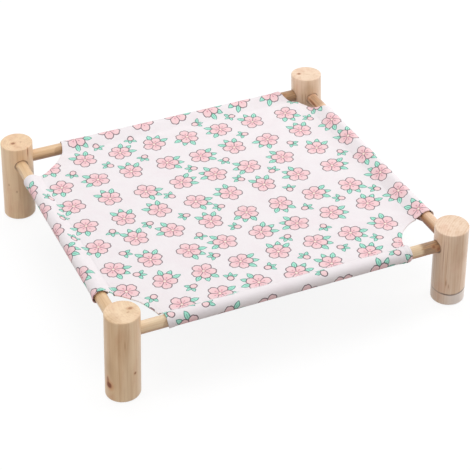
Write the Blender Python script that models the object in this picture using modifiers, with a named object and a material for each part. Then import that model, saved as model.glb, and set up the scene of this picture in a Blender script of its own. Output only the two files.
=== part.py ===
"""Elevated cat bed: a canvas sling sewn round four dowel rails that plug into four round posts.

Metres, +Z up. The origin is on the floor at the middle of the frame. +X runs along the front rail
and +Y from the front to the back. The four posts are one turned part, each a quarter turn from the
next. Every rail sits in two blind sockets and passes through a sleeve of the canvas.
"""

from math import acos, asin, atan2, cos, hypot, pi, radians, sin

import bmesh
import bpy
from mathutils import Matrix, Vector

# Frame, from post axis to post axis
FRAME_SPACING_X = 0.455
FRAME_SPACING_Y = 0.432

# Posts
POST_DIAMETER = 0.045
POST_HEIGHT = 0.119
POST_TOP_ROUND = 0.0012
POST_FOOT_ROUND = 0.003

# Rails and the blind sockets that hold them
RAIL_DIAMETER = 0.0165
RAIL_BELOW_POST_TOP = 0.029
RAIL_END_CHAMFER = 0.0008
SOCKET_CLEARANCE = 0.0005
SOCKET_END_GAP = 0.0005
SOCKET_WEB = 0.0022

# Canvas: the lengths of rail left bare between a post and its sleeves, and the sewing
CANVAS_THICKNESS = 0.0009
BARE_RAIL_X = 0.0345
BARE_RAIL_Y = 0.0405
DECK_SAG = 0.004
SLEEVE_EASE = 0.0004
SEAM_SETBACK = 0.0078
SEAM_FLAT = 0.002
SEAM_ALLOWANCE = 0.009
HEM_WIDTH = 0.007
HEM_PLIES = 2
PLY_GAP = 0.0003

# Facets
POST_FACETS = 48
RAIL_FACETS = 32
ROUND_STEPS = 3
DECK_CELLS_X = 20
DECK_CELLS_Y = 18
SLEEVE_ARC_STEPS = 16
SLEEVE_STATIONS = 8
HEM_STEPS = 8
CORNER_FACETS = 72
SMOOTH_BELOW = radians(40)

# Values that follow from the sizes above
POST_RADIUS = POST_DIAMETER / 2
RAIL_RADIUS = RAIL_DIAMETER / 2
RAIL_HEIGHT = POST_HEIGHT - RAIL_BELOW_POST_TOP
SOCKET_RADIUS = RAIL_RADIUS + SOCKET_CLEARANCE
SOCKET_BOTTOM = SOCKET_RADIUS + SOCKET_WEB
RAIL_END = SOCKET_BOTTOM + SOCKET_END_GAP
SEAM_LINE = RAIL_RADIUS + SEAM_SETBACK
DECK_EDGE = SEAM_LINE + SEAM_FLAT + PLY_GAP
CORNER_CUT_X = POST_RADIUS + BARE_RAIL_X
CORNER_CUT_Y = POST_RADIUS + BARE_RAIL_Y
LAP_DROP = CANVAS_THICKNESS + PLY_GAP
HEM_THICKNESS = HEM_PLIES * CANVAS_THICKNESS
HEM_DROP = CANVAS_THICKNESS / 2 + PLY_GAP + HEM_THICKNESS / 2

# The side of the frame that each corner and each rail stands on
CORNERS = {
    "front_left": (-1, -1, 0.0),
    "front_right": (1, -1, pi / 2),
    "back_right": (1, 1, pi),
    "back_left": (-1, 1, 3 * pi / 2),
}
SIDES = {
    "front": (Vector((0, -FRAME_SPACING_Y / 2, RAIL_HEIGHT)), 0.0, FRAME_SPACING_X, CORNER_CUT_X),
    "right": (Vector((FRAME_SPACING_X / 2, 0, RAIL_HEIGHT)), pi / 2, FRAME_SPACING_Y, CORNER_CUT_Y),
    "back": (Vector((0, FRAME_SPACING_Y / 2, RAIL_HEIGHT)), pi, FRAME_SPACING_X, CORNER_CUT_X),
    "left": (Vector((-FRAME_SPACING_X / 2, 0, RAIL_HEIGHT)), -pi / 2, FRAME_SPACING_Y, CORNER_CUT_Y),
}


def clear_scene():
    """Remove every object, so that the script can be run again."""
    for item in list(bpy.data.objects):
        bpy.data.objects.remove(item, do_unlink=True)


def new_collection(name):
    """A collection in the scene, emptied if it is already there."""
    group = bpy.data.collections.get(name) or bpy.data.collections.new(name)
    if group.name not in bpy.context.scene.collection.children:
        bpy.context.scene.collection.children.link(group)
    return group


def new_material(name, colour, roughness):
    """A plain non-metal finish."""
    material = bpy.data.materials.get(name) or bpy.data.materials.new(name)
    material.use_nodes = True
    shader = material.node_tree.nodes["Principled BSDF"]
    shader.inputs["Base Color"].default_value = (*colour, 1.0)
    shader.inputs["Roughness"].default_value = roughness
    shader.inputs["Metallic"].default_value = 0.0
    material.diffuse_color = (*colour, 1.0)
    return material


def mesh_from(shape, name):
    """Turn a bmesh into a mesh that is smooth on its round faces."""
    shape.normal_update()
    mesh = bpy.data.meshes.new(name)
    shape.to_mesh(mesh)
    shape.free()
    mesh.shade_smooth()
    mesh.set_sharp_from_angle(angle=SMOOTH_BELOW)
    return mesh


def new_object(name, mesh, group, material=None, place=Matrix()):
    """An object in a collection, set at its place."""
    item = bpy.data.objects.new(name, mesh)
    group.objects.link(item)
    item.matrix_world = place
    if material and not mesh.materials:
        mesh.materials.append(material)
    return item


def make_cutter(item):
    """Keep an object for cutting only."""
    item.hide_render = True
    item.display_type = "WIRE"


def cut(item, cutter):
    """Take the cutter's shape out of an object."""
    boolean = item.modifiers.new("cut_" + cutter.name, "BOOLEAN")
    boolean.operation = "DIFFERENCE"
    boolean.solver = "EXACT"
    boolean.object = cutter


def give_thickness(item, thickness):
    """Give an open cloth surface its thickness, half to each side."""
    shell = item.modifiers.new("cloth_thickness", "SOLIDIFY")
    shell.thickness = thickness
    shell.offset = 0.0
    shell.use_even_offset = True


def round_bar(diameter, length, facets):
    """A bar along Z that stands on its lower end, with sharp rims."""
    bar = bmesh.new()
    bmesh.ops.create_cone(
        bar,
        cap_ends=True,
        segments=facets,
        radius1=diameter / 2,
        radius2=diameter / 2,
        depth=length,
        matrix=Matrix.Translation((0, 0, length / 2)),
    )
    return bar


def ease_rim(bar, height, width, steps):
    """Round the rim of a bar that lies at one height."""
    rim = [edge for edge in bar.edges if all(abs(end.co.z - height) < PLY_GAP for end in edge.verts)]
    bmesh.ops.bevel(bar, geom=rim, offset=width, segments=steps, profile=0.5, affect="EDGES")


def socket_cutter(name, direction, group):
    """A round cutter from a socket's bottom out past the post's side, along X or Y of the post."""
    reach = POST_RADIUS * 2 - SOCKET_BOTTOM
    bar = round_bar(2 * SOCKET_RADIUS, reach, RAIL_FACETS)
    lay_down = Vector((0, 0, 1)).rotation_difference(direction).to_matrix().to_4x4()
    start = Vector((0, 0, RAIL_HEIGHT)) + direction * SOCKET_BOTTOM
    bar.transform(Matrix.Translation(start) @ lay_down)
    cutter = new_object(name, mesh_from(bar, name), group)
    make_cutter(cutter)
    return cutter


def post_mesh(cutters, material):
    """The one post shape, with its two blind sockets towards +X and +Y."""
    bar = round_bar(POST_DIAMETER, POST_HEIGHT, POST_FACETS)
    ease_rim(bar, POST_HEIGHT, POST_TOP_ROUND, ROUND_STEPS)
    ease_rim(bar, 0.0, POST_FOOT_ROUND, ROUND_STEPS)
    blank = new_object("post_blank", mesh_from(bar, "post_blank"), cutters)
    cut(blank, socket_cutter("socket_x", Vector((1, 0, 0)), cutters))
    cut(blank, socket_cutter("socket_y", Vector((0, 1, 0)), cutters))
    evaluated = blank.evaluated_get(bpy.context.evaluated_depsgraph_get())
    mesh = bpy.data.meshes.new_from_object(evaluated)
    mesh.name = "post"
    mesh.materials.clear()
    mesh.materials.append(material)
    mesh.set_sharp_from_angle(angle=SMOOTH_BELOW)
    make_cutter(blank)
    return mesh


def add_posts(parts, cutters, material):
    """The four posts, each turned so that its sockets face along the frame."""
    mesh = post_mesh(cutters, material)
    for corner, (side_x, side_y, turn) in CORNERS.items():
        place = Vector((side_x * FRAME_SPACING_X / 2, side_y * FRAME_SPACING_Y / 2, 0))
        turned = Matrix.Translation(place) @ Matrix.Rotation(turn, 4, "Z")
        new_object("post_" + corner, mesh, parts, place=turned)


def add_rail(name, centre, turn, spacing, parts, material):
    """A dowel whose origin lies on its own axis, which it turns about."""
    length = spacing - 2 * RAIL_END
    bar = round_bar(RAIL_DIAMETER, length, RAIL_FACETS)
    ease_rim(bar, 0.0, RAIL_END_CHAMFER, 1)
    ease_rim(bar, length, RAIL_END_CHAMFER, 1)
    bar.transform(Matrix.Rotation(pi / 2, 4, "Y") @ Matrix.Translation((0, 0, -length / 2)))
    place = Matrix.Translation(centre) @ Matrix.Rotation(turn, 4, "Z")
    new_object(name, mesh_from(bar, name), parts, material, place)


def sag_at(x, y):
    """How far the canvas hangs below the rails: deepest in the middle, none at the seams."""
    reach_x = FRAME_SPACING_X / 2 - SEAM_LINE
    reach_y = FRAME_SPACING_Y / 2 - SEAM_LINE
    across = max(0.0, 1 - (x / reach_x) ** 2)
    along = max(0.0, 1 - (y / reach_y) ** 2)
    return DECK_SAG * (across * along) ** 1.5


def settle(shape, place):
    """Lower a cloth shape's points by the sag at their place in the frame."""
    for point in shape.verts:
        seen = place @ point.co
        point.co.z -= sag_at(seen.x, seen.y)


def sleeve_section():
    """Middle line of the sleeve's cloth, as inward distance and height from the rail's axis.

    It starts flat beside the deck, leaves the seam line on a tangent over the rail, goes round the
    rail's far side, comes back on a tangent and ends in the allowance that is sewn under the deck.
    """
    radius = RAIL_RADIUS + SLEEVE_EASE + CANVAS_THICKNESS / 2
    start = acos(radius / SEAM_LINE)
    lap_reach = hypot(SEAM_LINE, LAP_DROP)
    end = 2 * pi - atan2(LAP_DROP, SEAM_LINE) - acos(radius / lap_reach)
    turns = [start + (end - start) * step / SLEEVE_ARC_STEPS for step in range(SLEEVE_ARC_STEPS + 1)]
    over = [(SEAM_LINE + SEAM_FLAT, 0.0), (SEAM_LINE, 0.0)]
    under = [(SEAM_LINE, -LAP_DROP), (SEAM_LINE + SEAM_ALLOWANCE, -LAP_DROP)]
    return over + [(radius * cos(turn), radius * sin(turn)) for turn in turns] + under


def add_sleeve(name, centre, turn, spacing, corner_cut, parts, material):
    """The canvas folded round one rail, from one corner cut to the other."""
    length = spacing - 2 * corner_cut
    place = Matrix.Translation(centre) @ Matrix.Rotation(turn, 4, "Z")
    cloth = bmesh.new()
    line = [cloth.verts.new((-length / 2, inward, height)) for inward, height in sleeve_section()]
    edges = [cloth.edges.new(pair) for pair in zip(line, line[1:])]
    for _ in range(SLEEVE_STATIONS):
        grown = bmesh.ops.extrude_edge_only(cloth, edges=edges)["geom"]
        moved = [part for part in grown if isinstance(part, bmesh.types.BMVert)]
        edges = [part for part in grown if isinstance(part, bmesh.types.BMEdge)]
        bmesh.ops.translate(cloth, verts=moved, vec=(length / SLEEVE_STATIONS, 0, 0))
    settle(cloth, place)
    item = new_object(name, mesh_from(cloth, name), parts, material, place)
    give_thickness(item, CANVAS_THICKNESS)


def corner_cutter(corner, side_x, side_y, group):
    """An oval cutter round a post's axis, which leaves the curved corner of the deck."""
    depth = POST_HEIGHT
    disc = bmesh.new()
    bmesh.ops.create_cone(
        disc, cap_ends=True, segments=CORNER_FACETS, radius1=1.0, radius2=1.0, depth=depth
    )
    bmesh.ops.scale(disc, vec=(CORNER_CUT_X, CORNER_CUT_Y, 1.0), verts=disc.verts)
    place = Vector((side_x * FRAME_SPACING_X / 2, side_y * FRAME_SPACING_Y / 2, RAIL_HEIGHT))
    name = "corner_cut_" + corner
    cutter = new_object(name, mesh_from(disc, name), group, place=Matrix.Translation(place))
    make_cutter(cutter)
    return cutter


def add_deck(parts, cutters, material):
    """The canvas that the cat lies on, hung between the four seam lines."""
    cloth = bmesh.new()
    bmesh.ops.create_grid(cloth, x_segments=DECK_CELLS_X, y_segments=DECK_CELLS_Y, size=0.5)
    width = FRAME_SPACING_X - 2 * DECK_EDGE
    depth = FRAME_SPACING_Y - 2 * DECK_EDGE
    bmesh.ops.scale(cloth, vec=(width, depth, 1.0), verts=cloth.verts)
    place = Matrix.Translation((0, 0, RAIL_HEIGHT))
    settle(cloth, place)
    deck = new_object("canvas_deck", mesh_from(cloth, "canvas_deck"), parts, material, place)
    give_thickness(deck, CANVAS_THICKNESS)
    for corner, (side_x, side_y, _) in CORNERS.items():
        cut(deck, corner_cutter(corner, side_x, side_y, cutters))


def add_corner_hem(corner, side_x, side_y, parts, material):
    """The doubled edge turned under the deck along one corner cut, between the two seam laps."""
    lap_end = SEAM_LINE + SEAM_ALLOWANCE + PLY_GAP
    first = asin(lap_end / CORNER_CUT_Y)
    last = acos(lap_end / CORNER_CUT_X)
    place = Vector((side_x * FRAME_SPACING_X / 2, side_y * FRAME_SPACING_Y / 2, RAIL_HEIGHT))
    cloth = bmesh.new()
    bmesh.ops.create_grid(cloth, x_segments=HEM_STEPS, y_segments=1, size=0.5)
    for point in cloth.verts:
        turn = first + (last - first) * (point.co.x + 0.5)
        inset = HEM_WIDTH * (point.co.y + 0.5)
        x = -side_x * (CORNER_CUT_X + inset) * cos(turn)
        y = -side_y * (CORNER_CUT_Y + inset) * sin(turn)
        point.co = (x, y, -HEM_DROP)
    settle(cloth, Matrix.Translation(place))
    name = "corner_hem_" + corner
    hem = new_object(name, mesh_from(cloth, name), parts, material, Matrix.Translation(place))
    give_thickness(hem, HEM_THICKNESS)


def main():
    """Build the bed."""
    clear_scene()
    parts = new_collection("elevated_cat_bed")
    cutters = new_collection("elevated_cat_bed_cutters")
    post_wood = new_material("post_pine", (0.66, 0.49, 0.32), 0.6)
    rail_wood = new_material("rail_pine", (0.62, 0.43, 0.24), 0.55)
    canvas = new_material("canvas", (0.86, 0.80, 0.85), 0.9)
    add_posts(parts, cutters, post_wood)
    for side, (centre, turn, spacing, corner_cut) in SIDES.items():
        add_rail("rail_" + side, centre, turn, spacing, parts, rail_wood)
        add_sleeve("canvas_sleeve_" + side, centre, turn, spacing, corner_cut, parts, canvas)
    add_deck(parts, cutters, canvas)
    for corner, (side_x, side_y, _) in CORNERS.items():
        add_corner_hem(corner, side_x, side_y, parts, canvas)


main()
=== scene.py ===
"""Elevated cat bed: a printed cotton canvas stretched over four dowel rails between four round pine posts.

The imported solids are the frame. Each post and rail is turned again as a smooth surface with its sockets
cut, and the canvas is one welded sheet: the deck, the four sleeves round the rails and the turned hems.
"""

import logging
import math
from dataclasses import dataclass, field, replace
from enum import Enum
from typing import Callable, Optional, Union

import bmesh
import bpy
import numpy as np
from mathutils import Matrix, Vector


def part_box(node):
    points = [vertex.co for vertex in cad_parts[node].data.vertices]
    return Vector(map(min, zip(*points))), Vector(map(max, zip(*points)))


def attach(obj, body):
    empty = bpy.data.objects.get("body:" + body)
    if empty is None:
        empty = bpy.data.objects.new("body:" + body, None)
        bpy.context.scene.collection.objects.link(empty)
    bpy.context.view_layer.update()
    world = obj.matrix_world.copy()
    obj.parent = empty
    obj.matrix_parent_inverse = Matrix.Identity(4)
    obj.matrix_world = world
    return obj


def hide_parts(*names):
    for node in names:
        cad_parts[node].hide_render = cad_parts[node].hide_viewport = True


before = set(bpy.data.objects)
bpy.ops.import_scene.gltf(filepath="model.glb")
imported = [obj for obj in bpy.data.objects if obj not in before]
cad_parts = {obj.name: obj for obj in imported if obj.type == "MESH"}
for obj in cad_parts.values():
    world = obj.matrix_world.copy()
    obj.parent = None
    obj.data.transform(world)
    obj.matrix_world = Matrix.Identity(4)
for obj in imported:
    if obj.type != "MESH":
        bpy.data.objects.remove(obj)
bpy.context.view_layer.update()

log = logging.getLogger("cat_bed")
MM = 0.001
TURN = 2 * math.pi
SOCKET_HEIGHT = 90 * MM
SHARP_RIM = 34.0
Number = Union[float, "Wire"]
Color = tuple[float, float, float]
WHITE = (1.0, 1.0, 1.0)


def paint(red: int, green: int, blue: int) -> Color:
    """Turns a screen colour into the linear one that the shaders use.

    Args:
        red: the red level, 0 to 255.
        green: the green level.
        blue: the blue level.

    Returns:
        The three linear levels, 0 to 1.
    """
    levels = np.array([red, green, blue]) / 255
    linear = np.where(levels <= 0.04045, levels / 12.92, ((levels + 0.055) / 1.055) ** 2.4)
    return tuple(float(level) for level in linear)


class Axis(Enum):
    """The axis that a piece is turned about and its grain runs along."""

    X = 0
    Y = 1
    Z = 2


class Corner(Enum):
    """A corner of the bed: its name in the solids, and its signs along X and Y."""

    FRONT_LEFT = ("front_left", -1, -1)
    FRONT_RIGHT = ("front_right", 1, -1)
    BACK_RIGHT = ("back_right", 1, 1)
    BACK_LEFT = ("back_left", -1, 1)

    def __init__(self, label: str, *signs: int) -> None:
        """Keeps the name and the two signs."""
        self.label, self.signs = label, signs


class Side(Enum):
    """A side of the bed: its name in the solids, the axis that its rail lies along, and its sign across."""

    FRONT = ("front", Axis.X, -1)
    RIGHT = ("right", Axis.Y, 1)
    BACK = ("back", Axis.X, 1)
    LEFT = ("left", Axis.Y, -1)

    def __init__(self, label: str, along: Axis, sign: int) -> None:
        """Keeps the name, the axis and the sign."""
        self.label, self.along, self.sign = label, along, sign

    @property
    def corners(self) -> list[Corner]:
        """The side's two corners, in the order that its axis passes them."""
        here = [corner for corner in Corner if corner.signs[1 - self.along.value] == self.sign]
        return sorted(here, key=lambda corner: corner.signs[self.along.value])


def math_method(operation: str, reflected: bool = False) -> Callable[..., "Wire"]:
    """Makes a method of Wire that adds one Math node.

    Args:
        operation: the Math node's operation.
        reflected: whether the other value comes first, as in 1 - mask.

    Returns:
        The method.
    """
    def method(self: "Wire", *others: Number) -> "Wire":
        """Adds the node and gives its result."""
        return self.calc(operation, *others, self) if reflected else self.calc(operation, self, *others)

    return method


class Wire:
    """A socket's value in a node tree, on which Python's operators add Math nodes."""

    __add__, __radd__ = math_method("ADD"), math_method("ADD", True)
    __sub__, __rsub__ = math_method("SUBTRACT"), math_method("SUBTRACT", True)
    __mul__, __rmul__ = math_method("MULTIPLY"), math_method("MULTIPLY", True)
    __truediv__, __rtruediv__ = math_method("DIVIDE"), math_method("DIVIDE", True)
    __abs__ = math_method("ABSOLUTE")
    least, most = math_method("MINIMUM"), math_method("MAXIMUM")
    sin, cos, root = math_method("SINE"), math_method("COSINE"), math_method("SQRT")
    floor, fract = math_method("FLOOR"), math_method("FRACT")

    def __init__(self, bench: "Bench", socket: bpy.types.NodeSocket) -> None:
        """Keeps the tree and the socket."""
        self.bench, self.socket = bench, socket

    def calc(self, operation: str, *values: Number) -> "Wire":
        """Adds one Math node on those values, in order, and gives its result."""
        return self.bench.wire("ShaderNodeMath", {"operation": operation}, dict(enumerate(values)))

    def ramp(self, low: float, high: float) -> "Wire":
        """Rises smoothly from 0 at low to 1 at high.

        Args:
            low: where it starts.
            high: where it ends; below low, it falls from 1 to 0 between them.

        Returns:
            The ramp's value.
        """
        falls = low > high
        ends = {"From Min": min(low, high), "From Max": max(low, high),
                "To Min": float(falls), "To Max": float(not falls)}
        return self.bench.wire("ShaderNodeMapRange", {"interpolation_type": "SMOOTHSTEP"},
                               {"Value": self, **ends})


class Bench:
    """The node tree of one material or world, and the one method that adds nodes to it."""

    def __init__(self, name: str, world: bool = False) -> None:
        """Makes an empty tree.

        Args:
            name: the material's or the world's name.
            world: whether it is a world.
        """
        self.owner = (bpy.data.worlds if world else bpy.data.materials).new(name)
        self.owner.use_nodes = True
        self.tree = self.owner.node_tree
        self.tree.nodes.clear()
        self.output = "ShaderNodeOutputWorld" if world else "ShaderNodeOutputMaterial"

    def node(self, kind: str, settings: Optional[dict] = None,
             inputs: Optional[dict] = None) -> bpy.types.Node:
        """Adds a node.

        Args:
            kind: the node's type.
            settings: its own properties, set before its sockets.
            inputs: a value or a Wire for each socket, by name or by number.

        Returns:
            The node.
        """
        node = self.tree.nodes.new(kind)
        for key, value in (settings or {}).items():
            setattr(node, key, value)
        for key, value in (inputs or {}).items():
            socket = node.inputs[key]
            if isinstance(value, Wire):
                self.tree.links.new(value.socket, socket)
            elif isinstance(value, tuple) and socket.type == "RGBA":
                socket.default_value = (*value, 1.0)
            else:
                socket.default_value = value
        return node

    def wire(self, kind: str, settings: Optional[dict] = None, inputs: Optional[dict] = None,
             output: Union[int, str] = 0) -> Wire:
        """Adds a node and gives one of its outputs as a Wire."""
        return Wire(self, self.node(kind, settings, inputs).outputs[output])

    def blend(self, factor: Number, first: Union[Color, Wire], second: Union[Color, Wire],
              how: str = "MIX") -> Wire:
        """Mixes two colours.

        Args:
            factor: how much of the second colour there is.
            first: the colour at 0.
            second: the colour at 1, or with "MULTIPLY" what the first is multiplied by there.
            how: the way that they mix.

        Returns:
            The mixed colour.
        """
        return self.wire("ShaderNodeMix", {"data_type": "RGBA", "blend_type": how},
                         {0: factor, 6: first, 7: second}, 2)

    def split(self, vector: Wire) -> list[Wire]:
        """The three parts of a vector."""
        return [Wire(self, part) for part in self.node("ShaderNodeSeparateXYZ", None, {0: vector}).outputs]

    def join(self, x: Number, y: Number, z: Number) -> Wire:
        """A vector of three parts."""
        return self.wire("ShaderNodeCombineXYZ", None, {0: x, 1: y, 2: z})

    def noise(self, place: Wire, scale: float, detail: float = 2.0, roughness: float = 0.5,
              output: Union[int, str] = 0) -> Wire:
        """Smooth noise about 0.5: its value, or three of them where output is Color."""
        return self.wire("ShaderNodeTexNoise", None,
                         {"Vector": place, "Scale": scale, "Detail": detail, "Roughness": roughness},
                         output)

    def object_place(self) -> Wire:
        """The point on the piece, in its own axes, in metres."""
        return self.wire("ShaderNodeTexCoord", output="Object")

    def bump(self, height: Wire, depth: float, strength: float) -> Wire:
        """The surface's normal with a relief of that depth on it, in metres."""
        return self.wire("ShaderNodeBump", None, {"Height": height, "Distance": depth, "Strength": strength})

    def looked_at(self) -> Wire:
        """Tells what is seen from what only gives light.

        Returns:
            1 where the camera sees the surface, in a mirror or through glass too, and otherwise 0.
        """
        rays = self.node("ShaderNodeLightPath").outputs
        camera, glossy, glass = (Wire(self, rays[f"Is {kind} Ray"])
                                 for kind in ("Camera", "Glossy", "Transmission"))
        return camera.most(glossy).most(glass)

    def choose(self, factor: Number, first: Wire, second: Wire) -> Wire:
        """The first shader where the factor is 0 and the second where it is 1."""
        return self.wire("ShaderNodeMixShader", None, {0: factor, 1: first, 2: second})

    def finish(self, shader: Wire) -> Union[bpy.types.Material, bpy.types.World]:
        """Ends the tree in that shader and gives the material or world."""
        self.node(self.output, None, {"Surface": shader})
        return self.owner


@dataclass(frozen=True)
class Mark:
    """A knot, streak, stain or softly deeper patch in the wood, or a patch or line of painted shade on it.

    Attributes:
        place: its middle, from the piece's own middle line, in millimetres.
        size: its half widths along X, Y and Z, in millimetres.
        strength: how dark it is, 0 to 1.
        swell: how far the rings bend round it, in millimetres.
    """

    place: tuple[float, ...]
    size: tuple[float, ...]
    strength: float
    swell: float = 0.0

    def reach(self, local: list[Wire]) -> Wire:
        """The distance from its middle, in half widths."""
        x, y, z = ((part - middle) / size for part, middle, size in zip(local, self.place, self.size))
        return (x * x + y * y + z * z).root()


def marks(*rows: tuple[float, ...]) -> tuple[Mark, ...]:
    """Reads marks from rows of numbers: the place, the half widths, the strength and the swell."""
    return tuple(Mark(row[:3], row[3:6], *row[6:]) for row in rows)


@dataclass(frozen=True)
class PineColors:
    """The colours that are blended, or multiplied, into the wood's own pale and deep ones."""

    cloud: Color = paint(238, 226, 214)
    blush: Color = paint(246, 228, 222)
    fibre: Color = paint(190, 143, 97)
    gap: Color = paint(255, 236, 208)
    # Painted shade for the rails' undersides.
    under: Color = paint(196, 160, 128)
    patch: Color = paint(212, 194, 164)
    # The stain colours serve the brown patches and also painted shade at sleeves' mouths and along rails'
    # flanks.
    stain_and_shade: Color = paint(194, 144, 90)
    stain_and_shade_deep: Color = paint(118, 74, 40)
    halo: Color = paint(204, 138, 80)
    # The knot colour also darkens long thin lines of painted shade along rails' flanks.
    knot_and_shade: Color = paint(122, 56, 20)
    # The rim colour is painted shade of the gap round a rail in its socket.
    rim: Color = paint(122, 80, 50)
    foot: Color = paint(250, 242, 238)
    foot_line: Color = paint(104, 72, 50)


@dataclass(frozen=True)
class PineFinish:
    """Sanded pine: growth rings round a pith line, fibres along the grain, knots, soft darker patches, and
    painted shade below the rails, round the sockets and in some stains and knots.

    Attributes:
        pith: where the pith line stands off the piece's middle line, across the grain, in millimetres.
        ring: the rings' width in millimetres.
        seed: moves the noise, so that no two pieces are alike.
        pale: the early wood's colour.
        deep: the late wood's colour.
        figure: how plainly the rings show, 0 to 1.
        knots_and_shade: the knots and resin streaks in it, and on the rails some long thin lines of painted
            shade along the flanks.
        stains_and_shade: the brown patches, and on the rails painted shade at the sleeves' mouths and along
            the flanks.
        darker_patches: the softly deeper patches; on the right rail some are painted shade along its left
            flank.
        socket_shade_rims: the sockets with a dark rim, which is painted shade of the gap round the rail,
            with the hole's rough edge at some: the axis, the way inward and how dark it is.
        foot_ring: the height of a scored line above the foot, in millimetres, or 0.
        underside_shade: how much darker the wood is painted below, as painted shade, 0 to 1.
        coat: how much of a clear coat it has where it isn't knotty, 0 to 1.
        relief: the depth of its grain, in metres.
        name: the material's name.
        grain: the axis that the grain runs along.
        middle: the piece's own middle line, in metres.
        slide: how far the grain slides along X and Y for each unit of height above the sockets.
        colors: the colours of its marks and tones.
    """

    pith: tuple[float, float]
    ring: float
    seed: float
    pale: Color = paint(246, 213, 173)
    deep: Color = paint(214, 169, 122)
    figure: float = 0.45
    knots_and_shade: tuple[Mark, ...] = ()
    stains_and_shade: tuple[Mark, ...] = ()
    darker_patches: tuple[Mark, ...] = ()
    socket_shade_rims: tuple[tuple[Axis, int, float], ...] = ()
    foot_ring: float = 0.0
    underside_shade: float = 0.0
    coat: float = 0.9
    relief: float = 0.10 * MM
    name: str = "pine"
    grain: Axis = Axis.Z
    middle: tuple[float, ...] = (0.0, 0.0, 0.0)
    slide: tuple[float, ...] = ()
    colors: PineColors = PineColors()

    def make(self) -> bpy.types.Material:
        """Builds the node tree.

        Returns:
            The material.
        """
        bench, hues, seed = Bench(self.name), self.colors, self.seed
        place = bench.split(bench.object_place())
        local = [(part - centre) / MM for part, centre in zip(place, self.middle)]
        level = local[2] - SOCKET_HEIGHT / MM
        for axis, slide in enumerate(self.slide):
            local[axis] = local[axis] - level * slide
        along = local[self.grain.value]
        first, second = (part for number, part in enumerate(local) if number != self.grain.value)
        seeded = bench.join(first + seed * 40, second + seed * 25, along * 0.16)

        # Wavy rings round the pith line, pushed aside by the knots; each year's late wood is a dark line.
        bends = bench.split(bench.noise(seeded, 0.028, output="Color"))
        side = first - self.pith[0] + (bends[0] - 0.5) * 9
        rise = second - self.pith[1] + (bends[1] - 0.5) * 9
        reach = (side * side + rise * rise).root()
        dark: Number = 0.0
        halo: Number = 0.0
        for knot_and_shade in self.knots_and_shade:
            far = knot_and_shade.reach(local)
            ragged = far + (bends[2] - 0.5) * 0.8
            dark = ragged.ramp(1.15, 0.5) * knot_and_shade.strength + dark
            halo = ragged.ramp(2.0, 0.8) * (knot_and_shade.strength * 0.8) + halo
            reach = reach + far.ramp(3.4, 0.4) * knot_and_shade.swell
        count = reach / self.ring + bench.noise(seeded, 0.09, 1.0) * 0.7
        year = bench.wire("ShaderNodeTexWhiteNoise", {"noise_dimensions": "1D"}, {"W": count.floor()})
        step = count.fract()
        late = step.ramp(0.35, 0.92) * step.ramp(1.0, 0.92) * (year * year * 0.75 + 0.25)
        fibre = bench.noise(bench.join(first + seed, second, along * 0.022), 1.5, 3.0, 0.6)
        strand = bench.noise(bench.join(first + seed * 9, second, along * 0.05), 0.17, 3.0, 0.6)
        blush = bench.noise(bench.join(first, second + seed * 17, along * 0.5), 0.045, 3.0, 0.6)

        # The wood's colours, then what lies over them, with painted shade below the rails and in some marks.
        ringed = (late * self.figure + strand.ramp(0.42, 0.72) * 0.38).least(1.0)
        color = bench.blend(ringed, self.pale, self.deep)
        color = bench.blend(bench.noise(seeded, 0.05).ramp(0.35, 0.75) * 0.45, color, hues.cloud, "MULTIPLY")
        color = bench.blend(blush.ramp(0.48, 0.70) * 0.5, color, hues.blush, "MULTIPLY")
        color = bench.blend(fibre.ramp(0.55, 0.80) * 0.28, color, hues.fibre)
        color = bench.blend(fibre.ramp(0.42, 0.25) * 0.30, color, hues.gap)
        # Painted shade: the rail is darker below.
        if self.underside_shade:
            below = (local[2] + (strand - 0.5) * 4).ramp(1.0, -4.0) * self.underside_shade
            color = bench.blend(below, color, hues.under, "MULTIPLY")
        # Softly darker patches; on the right rail some are painted shade.
        for mark in self.darker_patches:
            soft = mark.reach(local).ramp(1.4, 0.5) * mark.strength
            color = bench.blend(soft, color, hues.patch, "MULTIPLY")
        # Brown stains, and painted shade at the sleeves' mouths and along the rails' flanks.
        if self.stains_and_shade:
            stain_and_shade: Number = 0.0
            for mark in self.stains_and_shade:
                stain_and_shade = (mark.reach(local) + (fibre - 0.5) * 0.5).ramp(1.08, 0.86) * mark.strength + stain_and_shade
            streaks = bench.blend(fibre.ramp(0.3, 0.62), hues.stain_and_shade, hues.stain_and_shade_deep)
            color = bench.blend(stain_and_shade.least(1.0), color, streaks)
        # Knots, and long thin lines of painted shade along the rails' flanks.
        if self.knots_and_shade:
            dark = dark.least(0.95)
            color = bench.blend(dark, bench.blend(halo.least(0.75), color, hues.halo), hues.knot_and_shade)

        # The grain's relief, with what is cut or scored into it, and the sockets' dark rims of painted
        # shade, also sunk into the relief.
        relief = late * 0.5 + fibre * 0.5
        # Painted shade: a dark ring round each socket for the gap round the rail.
        for axis, inward, strength in self.socket_shade_rims:
            rim = self.rim(bench, local, level, axis, inward) * strength
            color, relief = bench.blend(rim, color, hues.rim), relief - rim
        if self.foot_ring:
            below, line = self.foot(bench, local, seeded)
            color = bench.blend(below, color, hues.foot)
            color = bench.blend(line * (blush.ramp(0.25, 0.65) * 0.3 + 0.7), color, hues.foot_line)
            relief = relief - line
        return bench.finish(bench.wire("ShaderNodeBsdfPrincipled", None, {
            "Base Color": color, "Roughness": 0.50 + fibre * 0.14 + late * 0.05, "IOR": 1.5,
            "Coat Weight": (1 - dark) * self.coat, "Coat Roughness": 0.34,
            "Normal": bench.bump(relief, self.relief, 0.7)}))

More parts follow.
